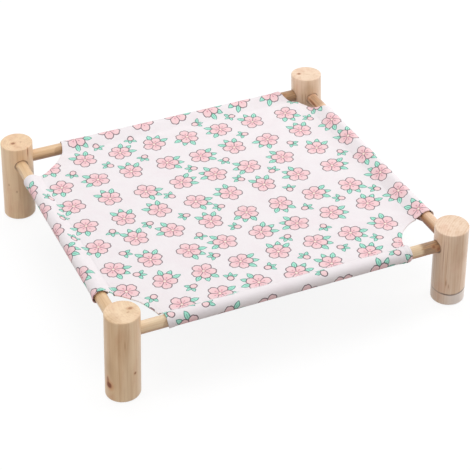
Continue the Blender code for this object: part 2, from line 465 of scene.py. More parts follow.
    def rim(self, bench: Bench, local: list[Wire], level: Wire, axis: Axis, inward: int) -> Wire:
        """The uneven dark rim round a socket: painted shade of the gap round the rail, with the hole's rough
        edge at some sockets.

        Args:
            bench: the tree.
            local: the place from the post's middle line, in millimetres.
            level: the height above the sockets' axes, in millimetres.
            axis: the axis that the socket runs along.
            inward: the sign of the way into the bed.

        Returns:
            How much of a rim there is, 0 to 1.
        """
        other = local[1 - axis.value]
        patchy = bench.noise(bench.join(local[0] + self.seed * 30, local[1], local[2]), 0.11, 2.0, 0.6)
        ring = abs((other * other + level * level).root() - 9.0 - patchy * 0.8).ramp(1.1, 0.2)
        return ring * (local[axis.value] * inward).ramp(4.0, 10.0) * (patchy.ramp(0.34, 0.56) * 0.85 + 0.15)

    def foot(self, bench: Bench, local: list[Wire], seeded: Wire) -> tuple[Wire, Wire]:
        """The paler foot and the scored line above it, which rises away from the side that faces the camera.

        Args:
            bench: the tree.
            local: the place from the post's middle line, in millimetres.
            seeded: the place that the noise is read at.

        Returns:
            How much paler the wood is, and how much of the line there is, 0 to 1.
        """
        away = (local[0] * 0.39 + local[1] * 0.92 + 22.5).most(0.0)
        right = local[0] * 0.92 - local[1] * 0.39
        height = local[2] - away / (away * 0.167 + 3.3) + bench.noise(seeded, 0.12, 1.0) * 0.8
        below = height.ramp(self.foot_ring + 0.6, self.foot_ring - 0.2)
        line = abs(height - self.foot_ring).ramp(1.7, 0.5)
        return (below * (right.ramp(-16.0, 8.0) * 0.58 + 0.10),
                line * (right.ramp(-18.0, -5.0) * 0.6 + 0.35))


@dataclass(frozen=True)
class LeafFan:
    """Three printed leaves: each is the lens |across| < width (1 - (along / length)^2), in millimetres.

    Attributes:
        middle: how far out the leaves' own middles stand.
        length: half a leaf's length.
        width: half its width.
        spread: the angle between two leaves, in turns.
        line: the outline's width, as a part of the print's own.
        vein: the middle vein's width, likewise.
    """

    middle: float
    length: float
    width: float
    spread: float
    line: float
    vein: float


@dataclass(frozen=True)
class PrintedCanvas:
    """Cotton canvas printed with pink blossoms, mint leaves and small buds, in a pattern of its own.

    A colour is named for what it prints, deep where that is deeper and thin where the ink is thin.

    Attributes:
        name: the material's name.
        pitch: how far apart the blossoms stand, and the buds between them, in millimetres.
        stray: how far a motif may be from its place.
        blossom: a blossom's radius.
        line: half the printed line's width.
        weave: the weave's pitch.
        bare: how many of the buds are left out, 0 to 1.
    """

    name: str = "printed_canvas"
    pitch: float = 52.0
    stray: float = 3.2
    blossom: float = 16.9
    line: float = 0.66
    weave: float = 0.62
    bare: float = 0.42
    ground: Color = paint(249, 243, 245)
    ground_deep: Color = paint(246, 234, 238)
    slub: Color = paint(222, 208, 212)
    petal: Color = paint(255, 219, 221)
    petal_deep: Color = paint(253, 205, 211)
    petal_thin: Color = paint(255, 222, 224)
    outline: Color = paint(92, 76, 86)
    leaf: Color = paint(163, 238, 214)
    leaf_thin: Color = paint(190, 246, 228)
    leaf_line: Color = paint(66, 142, 130)
    heart: Color = paint(255, 240, 226)
    heart_line: Color = paint(196, 118, 132)

    def fill(self, edge: Wire) -> Wire:
        """1 inside an edge, with a soft border, from the signed distance to it in millimetres."""
        return edge.ramp(0.15, -0.15)

    def stroke(self, distance: Wire, width: float = 1.0) -> Wire:
        """A line where the distance is nought, with soft edges; distance is in millimetres."""
        return abs(distance).ramp(self.line * width + 0.22, max(0.02, self.line * width - 0.22))

    def cell(self, u: Wire, v: Wire, shift: float, seed: float) -> tuple[Wire, Wire, Wire]:
        """Places one motif in each square cell, a little off its middle and turned at random.

        Args:
            u: the place on the flat cloth along X, in millimetres.
            v: the same along Y.
            shift: how far the cells stand over, as a part of the pitch.
            seed: changes the turns.

        Returns:
            The distance from the motif's middle in millimetres, the angle round it in turns, and a
            number from 0 to 1 that is the motif's own.
        """
        across, up = u / self.pitch + shift, v / self.pitch + shift
        column, row = across.floor(), up.floor()
        chance = u.bench.split(u.bench.wire("ShaderNodeTexWhiteNoise", {"noise_dimensions": "3D"},
                                            {"Vector": u.bench.join(column, row, seed)}, "Color"))
        x = (across - column - 0.5) * self.pitch - (chance[0] - 0.5) * self.stray
        y = (up - row - 0.5) * self.pitch - (chance[1] - 0.5) * self.stray
        return (x * x + y * y).root(), x.calc("ARCTAN2", y, x) / TURN + chance[2], chance[1]

    def leaves(self, color: Wire, green: Wire, reach: Wire, angle: Wire, fan: LeafFan) -> Wire:
        """Prints one fan of leaves.

        Args:
            color: the cloth's colour so far.
            green: the leaves' colour.
            reach: the distance from the motif's middle, in millimetres.
            angle: the angle round it from the middle leaf, in turns.
            fan: the leaves' sizes.

        Returns:
            The colour with the leaves on it.
        """
        turn = (angle + 0.5).fract() - 0.5
        pick = (turn / fan.spread + 0.5).floor().most(-1.0).least(1.0)
        lean = (turn - pick * fan.spread) * TURN
        along, across = reach * lean.cos() - fan.middle, abs(reach * lean.sin())
        edge = across - (1 - along * along / (fan.length * fan.length)).most(-1.5) * fan.width
        vein = across + along.ramp(fan.length * 0.2, fan.length) * 3
        inside = self.fill(edge)
        lines = self.stroke(edge, fan.line) + self.stroke(vein, fan.vein) * inside
        return color.bench.blend(lines, color.bench.blend(inside, color, green), self.leaf_line)

    def buds(self, color: Wire, green: Wire, u: Wire, v: Wire) -> Wire:
        """Prints the small buds, each on its own fan of leaves, and leaves some cells bare.

        Args:
            color: the cloth's colour so far.
            green: the leaves' colour.
            u: the place on the flat cloth along X, in millimetres.
            v: the same along Y.

        Returns:
            The colour with the buds on it.
        """
        reach, angle, chance = self.cell(u, v, 0.72, 8.0)
        reach = reach + chance.calc("LESS_THAN", chance, self.bare) * 1000
        turn = ((angle + 0.5).fract() - 0.5) * TURN
        x, y = reach * turn.cos() - 2.4, reach * turn.sin()
        edge = (x * x * 0.8 + y * y).root() - 4.3
        color = self.leaves(color, green, reach, angle + 0.5, LeafFan(5.6, 5.0, 2.3, 0.17, 0.8, 0.35))
        color = color.bench.blend(self.fill(edge), color, self.petal)
        return color.bench.blend(self.stroke(edge, 0.9), color, self.outline)

    def blossoms(self, color: Wire, green: Wire, ink: Wire, u: Wire, v: Wire) -> Wire:
        """Prints the blossoms, each over its own fan of leaves: five oval petals round a heart with stamens.

        Args:
            color: the cloth's colour so far.
            green: the leaves' colour.
            ink: how thin the ink is.
            u: the place on the flat cloth along X, in millimetres.
            v: the same along Y.

        Returns:
            The colour with the blossoms on it.
        """
        bench, radius = color.bench, self.blossom
        reach, angle, _ = self.cell(u, v, 0.22, 3.0)
        fan = LeafFan(radius * 1.02, 7.0, 3.3, 0.105, 0.9, 0.4)
        color = self.leaves(color, green, reach, angle + 0.1, fan)
        fold = abs((angle * 5).fract() - 0.5) * (TURN / 5)
        along, across = reach * fold.cos(), reach * fold.sin()
        long_way, wide_way = (along - radius * 0.57) / (radius * 0.43), across / (radius * 0.385)
        notch = fold.ramp(0.17, 0.0) * along.ramp(radius * 0.7, radius) * 0.13
        edge = ((long_way * long_way + wide_way * wide_way).root() - 1 + notch) * (radius * 0.40)
        edge = edge.least(reach - radius * 0.30)
        inside = self.fill(edge)
        pink = bench.blend(reach.ramp(radius * 0.95, radius * 0.2), self.petal, self.petal_deep)
        pink = bench.blend(ink.ramp(0.45, 0.8) * 0.35, pink, self.petal_thin)
        color = bench.blend(inside, color, pink)
        seam = self.stroke((fold - TURN / 10) * reach, 0.8) * reach.ramp(2.0, 3.4) * inside
        color = bench.blend((self.stroke(edge) + seam).least(1.0) * 0.92, color, self.outline)
        heart = reach - 2.3
        color = bench.blend(self.fill(heart), color, self.heart)
        stamen = self.stroke(across, 0.45) * reach.ramp(2.2, 2.6) * reach.ramp(7.2, 6.6)
        tip = ((along - 7.4) * (along - 7.4) + across * across).root().ramp(1.25, 0.75) * inside
        detail = (self.stroke(heart, 0.7) + stamen * 0.8 + tip * 0.8).least(1.0)
        return bench.blend(detail * 0.85, color, self.heart_line)

    def make(self) -> bpy.types.Material:
        """Builds the node tree.

        Returns:
            The material.
        """
        bench = Bench(self.name)
        flat = bench.wire("ShaderNodeUVMap", {"uv_map": "cut"})
        right, up, _ = bench.split(flat)
        wobble = bench.split(bench.noise(flat, 260, 1.0, output="Color"))
        u, v = right / MM + (wobble[0] - 0.5), up / MM + (wobble[1] - 0.5)
        ink = bench.noise(flat, 900, 2.0, 0.6)
        green = bench.blend(ink.ramp(0.4, 0.7) * 0.5, self.leaf, self.leaf_thin)
        tone = bench.noise(flat, 26, 3.0, 0.55).ramp(0.4, 0.75)
        color = bench.blend(tone * 0.5, self.ground, self.ground_deep)
        color = self.blossoms(self.buds(color, green, u, v), green, ink, u, v)

        # The threads cross evenly, and a few thicker ones run each way.
        step = TURN / (self.weave * MM)
        weave = (right * step).sin() * (up * step).sin() * 0.5 + 0.5
        slub = bench.noise(bench.join(right * 1200, up * 90, 0.0), 1.0, 1.0) \
            + bench.noise(bench.join(right * 90, up * 1200, 4.0), 1.0, 1.0)
        color = bench.blend(slub.ramp(1.25, 0.75) * 0.12, color, self.slub)
        return bench.finish(bench.wire("ShaderNodeBsdfPrincipled", None, {
            "Base Color": color, "Roughness": 0.84 + weave * 0.08,
            "Sheen Weight": 0.12, "Sheen Roughness": 0.5, "Specular IOR Level": 0.25,
            "Normal": bench.bump(weave * 0.5 + slub * 0.5, 0.12 * MM, 0.6)}))


@dataclass(frozen=True)
class PlainCloth:
    """The canvas's unprinted reverse, or its thread.

    Attributes:
        name: the material's name.
        tint: its colour.
        pitch: the weave's or the thread's pitch in millimetres.
    """

    name: str
    tint: Color
    pitch: float = 0.62

    def make(self) -> bpy.types.Material:
        """Builds the node tree.

        Returns:
            The material.
        """
        bench = Bench(self.name)
        place = bench.object_place()
        x, y, z = bench.split(place)
        step = TURN / (self.pitch * MM)
        weave = ((x + z) * step).sin() * ((y - z) * step).sin() * 0.5 + 0.5
        tone = bench.noise(place, 60, 3.0, 0.6)
        shade = tuple(level * 0.86 for level in self.tint)
        color = bench.blend(tone.ramp(0.3, 0.8) * 0.5 + weave * 0.2, self.tint, shade)
        return bench.finish(bench.wire("ShaderNodeBsdfPrincipled", None, {
            "Base Color": color, "Roughness": 0.86 + tone * 0.08, "Sheen Weight": 0.1,
            "Specular IOR Level": 0.25, "Normal": bench.bump(weave, 0.10 * MM, 0.5)}))


def ease(value: np.ndarray, start: float, end: float) -> np.ndarray:
    """Goes evenly from 0 at start to 1 at end, which may be the lower one, and stays there."""
    return np.clip((value - start) / (end - start), 0, 1)


def bell(value: np.ndarray, middle: float, width: float) -> np.ndarray:
    """A smooth bump, 1 at its middle and 1/e at a width from it."""
    return np.exp(-((value - middle) / width) ** 2)


def rough(x: np.ndarray, y: np.ndarray, seed: int, size: float) -> np.ndarray:
    """Smooth uneven height from -1 to 1: sums of sines in seeded directions, finer and lower each time.

    Args:
        x: places one way.
        y: places the other way.
        seed: the seed of the directions.
        size: the size of the widest waves.

    Returns:
        The height at each place.
    """
    rng = np.random.default_rng(seed)
    total = np.zeros(np.broadcast(x, y).shape)
    for octave in range(3):
        for _ in range(4):
            way, phase = rng.uniform(0, TURN, 2)
            step = TURN / (size / 1.8**octave * rng.uniform(0.75, 1.3))
            total = total + np.sin((x * math.cos(way) + y * math.sin(way)) * step + phase) / 1.7**octave
    return total / 6.0


def sheet_faces(rows: int, columns: int, first: int = 0, closed: bool = False) -> np.ndarray:
    """The four-sided faces of a grid of points, counter-clockwise with columns to the right and rows up.

    Args:
        rows: how many rows of points there are.
        columns: how many points a row has.
        first: the number of the grid's first point.
        closed: whether the last column joins the first.

    Returns:
        An array of four point numbers to a face.
    """
    number = first + np.arange(rows * columns).reshape(rows, columns)
    if closed:
        number = np.concatenate([number, number[:, :1]], axis=1)
    corners = [number[:-1, :-1], number[:-1, 1:], number[1:, 1:], number[1:, :-1]]
    return np.stack([corner.ravel() for corner in corners], axis=1)


def new_piece(name: str, points: np.ndarray, faces: list[np.ndarray], flat: Optional[np.ndarray] = None,
              sharp: float = 40.0) -> bpy.types.Object:
    """Makes an object of points and faces, smooth but for edges sharper than an angle.

    Args:
        name: the piece's name.
        points: an array of points in metres.
        faces: arrays of point numbers.
        flat: each point's place on the flat cloth, for the UV map named cut.
        sharp: the angle in degrees past which an edge is sharp.

    Returns:
        The new object, linked to the scene.
    """
    mesh = bpy.data.meshes.new(name)
    mesh.from_pydata(points.tolist(), [], [face for part in faces for face in part.tolist()])
    if flat is not None:
        corner = np.zeros(len(mesh.loops), np.int32)
        mesh.loops.foreach_get("vertex_index", corner)
        mesh.uv_layers.new(name="cut").data.foreach_set("uv", flat[corner].astype(np.float32).ravel())
    work = bmesh.new()
    work.from_mesh(mesh)
    bmesh.ops.remove_doubles(work, verts=work.verts, dist=2e-6)
    work.to_mesh(mesh)
    work.free()
    mesh.shade_smooth()
    mesh.set_sharp_from_angle(angle=math.radians(sharp))
    piece = bpy.data.objects.new(name, mesh)
    bpy.context.scene.collection.objects.link(piece)
    return piece


def lathe(radii: np.ndarray, heights: np.ndarray, segments: int,
          ripple: Union[float, np.ndarray] = 0.0) -> tuple[np.ndarray, list[np.ndarray]]:
    """Turns a profile about the Z axis and closes both ends with a middle point.

    A point is (r cos t, r sin t, z), where t goes once round and (r, z) runs along the profile.

    Args:
        radii: the profile's distances from the axis, without its two poles.
        heights: the profile's heights, rising.
        segments: how many points go round.
        ripple: a small change of the radius, one row to a height and one column to an angle.

    Returns:
        The points, the two poles last, and the faces.
    """
    angle = np.linspace(0, TURN, segments, endpoint=False)
    radius, height = radii[:, None] * np.ones(segments) + ripple, heights[:, None] * np.ones(segments)
    rings = np.stack([radius * np.cos(angle), radius * np.sin(angle), height], axis=2)
    points = np.concatenate([rings.reshape(-1, 3), [[0, 0, heights[0]], [0, 0, heights[-1]]]])
    count = len(radii) * segments
    around = np.arange(segments)
    after, last = (around + 1) % segments, count - segments
    low = np.stack([after, around, np.full(segments, count)], axis=1)
    high = np.stack([last + around, last + after, np.full(segments, count + 1)], axis=1)
    return points, [sheet_faces(len(radii), segments, closed=True), low, high]


def lay(points: np.ndarray, axis: Axis) -> np.ndarray:
    """Lays points that were turned about Z along X or Y instead."""
    return points[:, [2, 0, 1]] if axis is Axis.X else points[:, [1, 2, 0]]


@dataclass
class PinePost:
    """One round corner post with two blind sockets for the rails.

    Attributes:
        corner: where it stands.
        finish: its wood.
        lean: how far it leans along X and Y, in degrees, about its sockets' height, with a level foot.
        crown: how far its sawn top is off the rest, in millimetres, and its slopes along X and Y.
        diameter: its diameter in metres.
        height: its height.
        top_round: the eased rim at its top.
        foot_round: the rounded rim at its foot.
        socket_diameter: the sockets' diameter.
        socket_height: their height above the floor.
        socket_stop: how near the post's axis they end.
        ripple: the height of the waves that its hand-sanded round has.
        inset: how far its round stays inside the nominal one, so that the waves don't pass it by much.
        segments: how many points go round it.
    """

    corner: Corner
    finish: PineFinish
    lean: tuple[float, float]
    crown: tuple[float, float, float]
    diameter: float = 45 * MM
    height: float = 119 * MM
    top_round: float = 1.4 * MM
    foot_round: float = 3.6 * MM
    socket_diameter: float = 17.5 * MM
    socket_height: float = SOCKET_HEIGHT
    socket_stop: float = 10.95 * MM
    ripple: float = 0.045 * MM
    inset: float = 0.05 * MM
    segments: int = 144

    def profile(self) -> tuple[np.ndarray, np.ndarray]:
        """The post's outline from the foot's middle up to the top's middle.

        Returns:
            The radii and the heights.
        """
        radius, foot, top, height = self.diameter / 2, self.foot_round, self.top_round, self.height
        low, high = np.radians(np.linspace(-90, 0, 8)), np.radians(np.linspace(0, 90, 7))
        side = np.linspace(foot + 1.5 * MM, height - top - 1.5 * MM, 34)
        radii = [np.linspace(0.15, 0.94, 6) * (radius - foot), radius - foot + foot * np.cos(low),
                 np.full(34, radius), radius - top + top * np.cos(high),
                 np.linspace(0.96, 0.12, 8) * (radius - top)]
        heights = [np.zeros(6), foot + foot * np.sin(low), side, height - top + top * np.sin(high),
                   np.full(8, height)]
        return np.concatenate(radii), np.concatenate(heights)

    def build(self) -> bpy.types.Object:
        """Turns the post, cuts its sockets and dresses it.

        Returns:
            The post.
        """
        node = f"post_{self.corner.label}"
        radii, heights = self.profile()
        angle = np.linspace(0, TURN, self.segments, endpoint=False)
        rise, seed = heights[:, None] * 40, self.finish.seed
        waves = np.sin(2 * angle + seed + rise * 0.3) + np.sin(3 * angle - seed * 2 + rise * 0.6)
        waves = waves * self.ripple * (radii[:, None] / (self.diameter / 2)) ** 2
        points, faces = lathe(radii, heights, self.segments, waves - self.inset)
        post = new_piece(f"turned_{node}", self.leant(points) + self.finish.middle, faces, sharp=SHARP_RIM)
        for axis in (Axis.X, Axis.Y):
            self.cut_socket(post, axis)
        post.data.materials.append(self.finish.make())
        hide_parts(node)
        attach(post, "frame")
        return post

    def leant(self, points: np.ndarray) -> np.ndarray:
        """Slides each level sideways in proportion to its height above the sockets, and tilts the top.

        Above the sockets, a point rises by its share of the way to the top times the top's rise there.

        Args:
            points: the upright post's points.

        Returns:
            The leaning post's points.
        """
        slide = np.tan(np.radians(self.lean)) * (points[:, 2:] - self.socket_height)
        rise, slope_x, slope_y = self.crown
        lift = rise * MM + slope_x * points[:, 0] + slope_y * points[:, 1]
        lift = lift * ease(points[:, 2], self.socket_height + 12 * MM, self.height)
        return points + np.concatenate([slide, lift[:, None]], axis=1)

    def cut_socket(self, post: bpy.types.Object, axis: Axis) -> None:
        """Cuts one blind socket towards the bed's middle with a turned cutter.

        Args:
            post: the post's object, whose mesh is changed.
            axis: the axis that the socket runs along.
        """
        inward = -self.corner.signs[axis.value]
        ends = np.sort([inward * self.socket_stop, inward * (self.diameter / 2 + 6 * MM)])
        points, faces = lathe(np.full(2, self.socket_diameter / 2), ends, 72)
        place = np.add(self.finish.middle, [0, 0, self.socket_height])
        cutter = new_piece("socket_cutter", lay(points, axis) + place, faces)
        tool = post.modifiers.new("socket", "BOOLEAN")
        tool.operation, tool.solver, tool.object = "DIFFERENCE", "EXACT", cutter
        cut = bpy.data.meshes.new_from_object(post.evaluated_get(bpy.context.evaluated_depsgraph_get()))
        post.modifiers.clear()
        post.data = cut
        cut.set_sharp_from_angle(angle=math.radians(SHARP_RIM))
        bpy.data.objects.remove(cutter)


@dataclass
class DowelRail:
    """One dowel rail, free to turn in its two sockets.

    Attributes:
        side: which side of the bed it is on.
        finish: its wood.
        chamfer: the eased rim at each end.
        segments: how many points go round it.
    """

    side: Side
    finish: PineFinish
    chamfer: float = 0.8 * MM
    segments: int = 96

    def build(self) -> bpy.types.Object:
        """Turns the rail between its two ends and dresses it.

        Returns:
            The rail.
        """
        node, along = f"rail_{self.side.label}", self.side.along
        low, high = (np.array(corner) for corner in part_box(node))
        length, radius = (high - low)[along.value], (high - low)[2] / 2
        end = np.array([0.2, 0.6, 0.97, 1.0]) * (radius - self.chamfer)
        body = np.linspace(self.chamfer + 1.0 * MM, length - self.chamfer - 1.0 * MM, 40)
        radii = np.concatenate([end, np.full(42, radius), end[::-1]])
        heights = np.concatenate([np.zeros(4), [self.chamfer], body, [length - self.chamfer],
                                  np.full(4, length)])
        points, faces = lathe(radii, heights - length / 2, self.segments)
        rail = new_piece(f"turned_{node}", lay(points, along) + (low + high) / 2, faces)
        rail.data.materials.append(self.finish.make())
        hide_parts(node)
        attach(rail, f"turning_{node}")
        return rail


@dataclass(frozen=True)
class CornerCut:
    """The concave cut of the cloth round one post, a superellipse about the post's axis.

    Attributes:
        reach: how far it reaches from the axis along X and Y, where the sleeves' mouths are, in millimetres.
        power: the curve's power, where 2 is an ellipse and less is flatter.
        lift: how far the edge's middle stands above the deck, in millimetres.
    """

    reach: tuple[float, float]
    power: float
    lift: float = 0.0


@dataclass(frozen=True)
class MouthForm:
    """How the end of a sleeve sits on its rail, in millimetres.

    Attributes:
        flare: how far its edge stands off the rail.
        crumple: the height of the small ridges beside it.
        recess: how far its lower layer stays back from its edge.
        slip: how far its edge has slid on towards the post.
        band: how much thicker the turned edge is.
        groove: how deep the stitches round it pull the cloth in.
        stitches: how far in the stitches are.
    """

    flare: float = 0.5
    crumple: float = 0.12
    recess: float = 7.0
    slip: float = 0.0
    band: float = 0.42
    groove: float = 0.26
    stitches: float = 5.8

    def relief(self, gap: np.ndarray, run: np.ndarray, upper: np.ndarray, phase: float) -> np.ndarray:
        """A flare that dies away inwards, ridges that follow the mouth, and the stitched band at its edge.

        Args:
            gap: the distance in from the mouth, in metres.
            run: the distance along the cloth from the upper seam.
            upper: 1 on top of the rail, falling to 0 below.
            phase: shifts the ridges, so that the two mouths of a sleeve differ.

        Returns:
            How far the cloth stands off the rail.
        """
        flare = self.flare * np.exp(-gap / (7 * MM)) * (0.45 + 0.55 * upper)
        waves = np.cos(gap * TURN / (5 * MM) + np.sin(run / (11 * MM)) * 0.9 - 1.4) * 0.5 + 0.5
        uneven = 0.8 + 0.2 * np.sin(run / (9 * MM) + phase)
        ridges = self.crumple * waves**0.45 * np.exp(-(gap / (14 * MM)) ** 4) * uneven
        band = self.band * ease(gap, 8.0 * MM, 6.6 * MM)
        groove = self.groove * bell(gap, self.stitches * MM, 0.7 * MM)
        return (flare + ridges + band - groove) * MM


@dataclass
class CanvasSling:
    """The canvas: a deck, four sleeves sewn round the rails and a turned hem at each corner cut.

    Attributes:
        seam: the seams' distance from the rails' axes, in metres.
        sleeve_radius: the cloth's middle radius round a rail.
        drop: how far below the rails' axes the sleeve's lower layer is sewn on.
        thickness: the cloth's thickness.
        sag: how far the deck hangs at its middle.
        uneven: the height of the deck's soft unevenness.
        drag: the height of the folds that drag towards its corners.
        lap: how far the sleeve's inner edge runs on under the deck.
        spread: how far the sleeve's lower layer hangs open at its mouths.
        hem: the turned hem's width.
        fold: the radius of its fold.
        drag_pitch: from one of those folds to the next.
        drag_place: how far from a post's axis they are highest.
        drag_width: how far they reach from there.
        gathers: the waves of a seam's small gathers, each with its height and length in millimetres.
        gather_stop: how far before its end a seam has no gathers any more.
        gather_fade: over what length they die away.
        columns: how many faces go along a front or back seam.
        arc_columns: how many go along a corner cut.
        rows: how many go along a side seam.
        round_rows: how many rows of points go round a rail.
        cuts: the four corner cuts.
        mouths: the sleeves' ends, at the lower and the higher end of each side.
    """

    seam: float = 16.05 * MM
    sleeve_radius: float = 9.1 * MM
    drop: float = 1.3 * MM
    thickness: float = 0.9 * MM
    sag: float = 4.0 * MM
    uneven: float = 0.42 * MM
    drag: float = 0.55 * MM
    lap: float = 9.0 * MM
    spread: float = 1.05 * MM
    hem: float = 7.0 * MM
    fold: float = 0.62 * MM
    drag_pitch: float = 44 * MM
    drag_place: float = 75 * MM
    drag_width: float = 58 * MM
    gathers: tuple[tuple[float, float], ...] = ((0.07, 11.0), (0.10, 15.0), (0.12, 21.0), (0.12, 37.0))
    gather_stop: float = 46 * MM
    gather_fade: float = 16 * MM
    columns: int = 150
    arc_columns: int = 18
    rows: int = 128
    round_rows: int = 23
    cuts: dict[Corner, CornerCut] = field(default_factory=lambda: {
        Corner.FRONT_LEFT: CornerCut((55.5, 80.5), 1.75),
        Corner.FRONT_RIGHT: CornerCut((62.3, 67.0), 2.1),
        Corner.BACK_RIGHT: CornerCut((46.0, 67.0), 0.94, 2.4),
        Corner.BACK_LEFT: CornerCut((67.0, 65.0), 1.45)})
    mouths: dict[Side, tuple[MouthForm, MouthForm]] = field(default_factory=lambda: {
        Side.FRONT: (MouthForm(0.3, 0.15, 11.0), MouthForm(0.2, 1.2, 13.0)),
        Side.RIGHT: (MouthForm(0.9, 0.25, 15.0, 4.0), MouthForm(0.6, 0.2)),
        Side.BACK: (MouthForm(0.4, 0.12), MouthForm(0.5, 0.15)),
        Side.LEFT: (MouthForm(1.7, 0.2, 15.0, 5.0), MouthForm(0.5, 0.2))})

    def __post_init__(self) -> None:
        """Reads the posts' axes from the solids and works out where the sleeve's path bends."""
        self.post = (sum(np.array(corner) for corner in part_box("post_back_right")) / 2)[:2]
        self.half = self.post - self.seam
        radius, far = self.sleeve_radius, math.hypot(self.seam, self.drop)
        self.start = math.acos(radius / self.seam)
        end = TURN - math.atan2(self.drop, self.seam) - math.acos(radius / far)
        straight, back = (math.sqrt(reach**2 - radius**2) for reach in (self.seam, far))
        self.bends = np.cumsum([straight, (end - self.start) * radius, back, self.lap])

    def path(self) -> np.ndarray:
        """Distances along the cloth from the upper seam to the lap's edge, closer where it bends.

        Returns:
            The distances, rising.
        """
        stops, counts = [0, *self.bends], (5, self.round_rows - 1, 4, 4)
        parts = [np.linspace(*ends, count, endpoint=False) for *ends, count in zip(stops, stops[1:], counts)]
        return np.append(np.concatenate(parts), stops[-1])

    def section(self, run: np.ndarray) -> tuple[np.ndarray, ...]:
        """The sleeve's cross-section: up a tangent, round the rail, back along a tangent and under the deck.

        Args:
            run: distances along the cloth from the upper seam.

        Returns:
            The distance from the rail's axis towards the deck and the height above it, then the same
            two parts of the outward direction.
        """
        straight, turned, sewn, _ = self.bends
        angle = self.start + (np.clip(run, straight, turned) - straight) / self.sleeve_radius
        out_d, out_z = np.cos(angle), np.sin(angle)
        ring_d, ring_z = self.sleeve_radius * out_d, self.sleeve_radius * out_z
        up, down = ease(run, 0, straight), ease(run, turned, sewn)
        inward = self.seam + np.clip(run - sewn, 0, self.lap)
        distance = self.seam + (ring_d - self.seam) * up + (inward - ring_d) * down
        height = ring_z * up - (self.drop + ring_z) * down
        under = ease(run, sewn, sewn + 2 * MM)
        return distance, height, out_d * (1 - under), out_z * (1 - under) - under

    def arc(self, corner: Corner) -> np.ndarray:
        """The corner cut from the side seam to the front or back seam.

        Args:
            corner: which corner's cut it is.

        Returns:
            Distances from the post's axis along X in the first row, and along Y in the second.
        """
        cut = self.cuts[corner]
        (a, b), power = (reach * MM for reach in cut.reach), cut.power
        start, end = math.acos((self.seam / a) ** (power / 2)), math.asin((self.seam / b) ** (power / 2))
        angle = np.linspace(start, end, self.arc_columns + 1)
        return np.array([a * np.cos(angle) ** (2 / power), b * np.sin(angle) ** (2 / power)])

    def spaced(self, count: int) -> np.ndarray:
        """Numbers from 0 to 1, closer at both ends: t - 0.68 sin(2 pi t) / 2 pi, where t rises evenly."""
        even = np.linspace(0, 1, count + 1)
        return even - np.sin(even * TURN) / TURN * 0.68

    def edge_row(self, side: Side) -> np.ndarray:
        """The deck's front or back edge from left to right: a corner cut, the seam and the other cut.

        Args:
            side: the front or the back.

        Returns:
            Places along X and Y.
        """
        (left_x, left_y), (right_x, right_y) = (self.post[:, None] - self.arc(corner)
                                                for corner in side.corners)
        middle = (right_x[-1] + left_x[-1]) * self.spaced(self.columns)[1:-1] - left_x[-1]
        x = np.concatenate([-left_x, middle, right_x[::-1]])
        y = np.concatenate([left_y, np.full(len(middle), self.half[1]), right_y[::-1]])
        return np.stack([x, side.sign * y], axis=1)

    def seam_gathers(self, side: Side, place: np.ndarray) -> np.ndarray:
        """A seam's small gathers: sums of waves along it, which fade out towards the corner cuts.

        Args:
            side: which side's seam it is.
            place: places along it.

        Returns:
            The height there.
        """
        rng = np.random.default_rng(11 + 2 * side.along.value + (side.sign > 0))
        waves = sum(height * np.sin(place * TURN / (length * MM) + rng.uniform(0, TURN))
                    for height, length in self.gathers)
        stop = self.half[side.along.value] - self.gather_stop
        return waves * MM * ease(np.abs(place), stop, stop - self.gather_fade)

    def deck_height(self, x: np.ndarray, y: np.ndarray) -> np.ndarray:
        """A shallow sag with soft unevenness, folds that drag towards the corners, and the seams' gathers.

        Args:
            x: places along X.
            y: places along Y.

        Returns:
            The deck's height above the rails' axes.
        """
        u, v = np.clip(np.abs(x) / self.half[0], 0, 1), np.clip(np.abs(y) / self.half[1], 0, 1)
        height = -self.sag * ((1 - u**2) * (1 - v**2)) ** 1.5
        inner = np.clip(np.minimum(self.half[0] - np.abs(x), self.half[1] - np.abs(y)), 0, None)
        fade = 1 - np.exp(-inner / (14 * MM))
        height = height + fade * self.uneven * rough(x, y, 5, 95 * MM)
        for corner in Corner:
            sign_x, sign_y = corner.signs
            off_x, off_y = x * sign_x - self.post[0], y * sign_y - self.post[1]
            far = np.hypot(off_x, off_y)
            folds = np.cos((off_x - off_y) * TURN / self.drag_pitch + sign_x * 0.7 + sign_y * 0.4)
            height = height + fade * self.drag * folds * bell(far, self.drag_place, self.drag_width)
            lift = self.cuts[corner].lift * MM * bell(far, 42 * MM, 16 * MM)
            height = height + lift * ease(inner, 0, 12 * MM)
        for side in Side:
            place, across, half = (x, y, self.half[1]) if side.along is Axis.X else (y, x, self.half[0])
            gap = np.clip(half - across * side.sign, 0, None)
            height = height + self.seam_gathers(side, place) * np.exp(-gap / (7 * MM))
        return height

    def raised(self, plan: np.ndarray, above: Union[float, np.ndarray] = 0.0) -> np.ndarray:
        """Points at a height above the deck, over places along X and Y."""
        z = SOCKET_HEIGHT + self.deck_height(plan[..., 0], plan[..., 1]) + above
        return np.concatenate([plan, z[..., None]], axis=-1)

    def deck(self) -> tuple[np.ndarray, np.ndarray]:
        """The deck as a grid: each column runs straight from the front edge to the back edge.

        Returns:
            The points, and their places on the flat cloth.
        """
        share = self.spaced(self.rows)[:, None, None]
        plan = self.edge_row(Side.FRONT) * (1 - share) + self.edge_row(Side.BACK) * share
        return self.raised(plan), plan

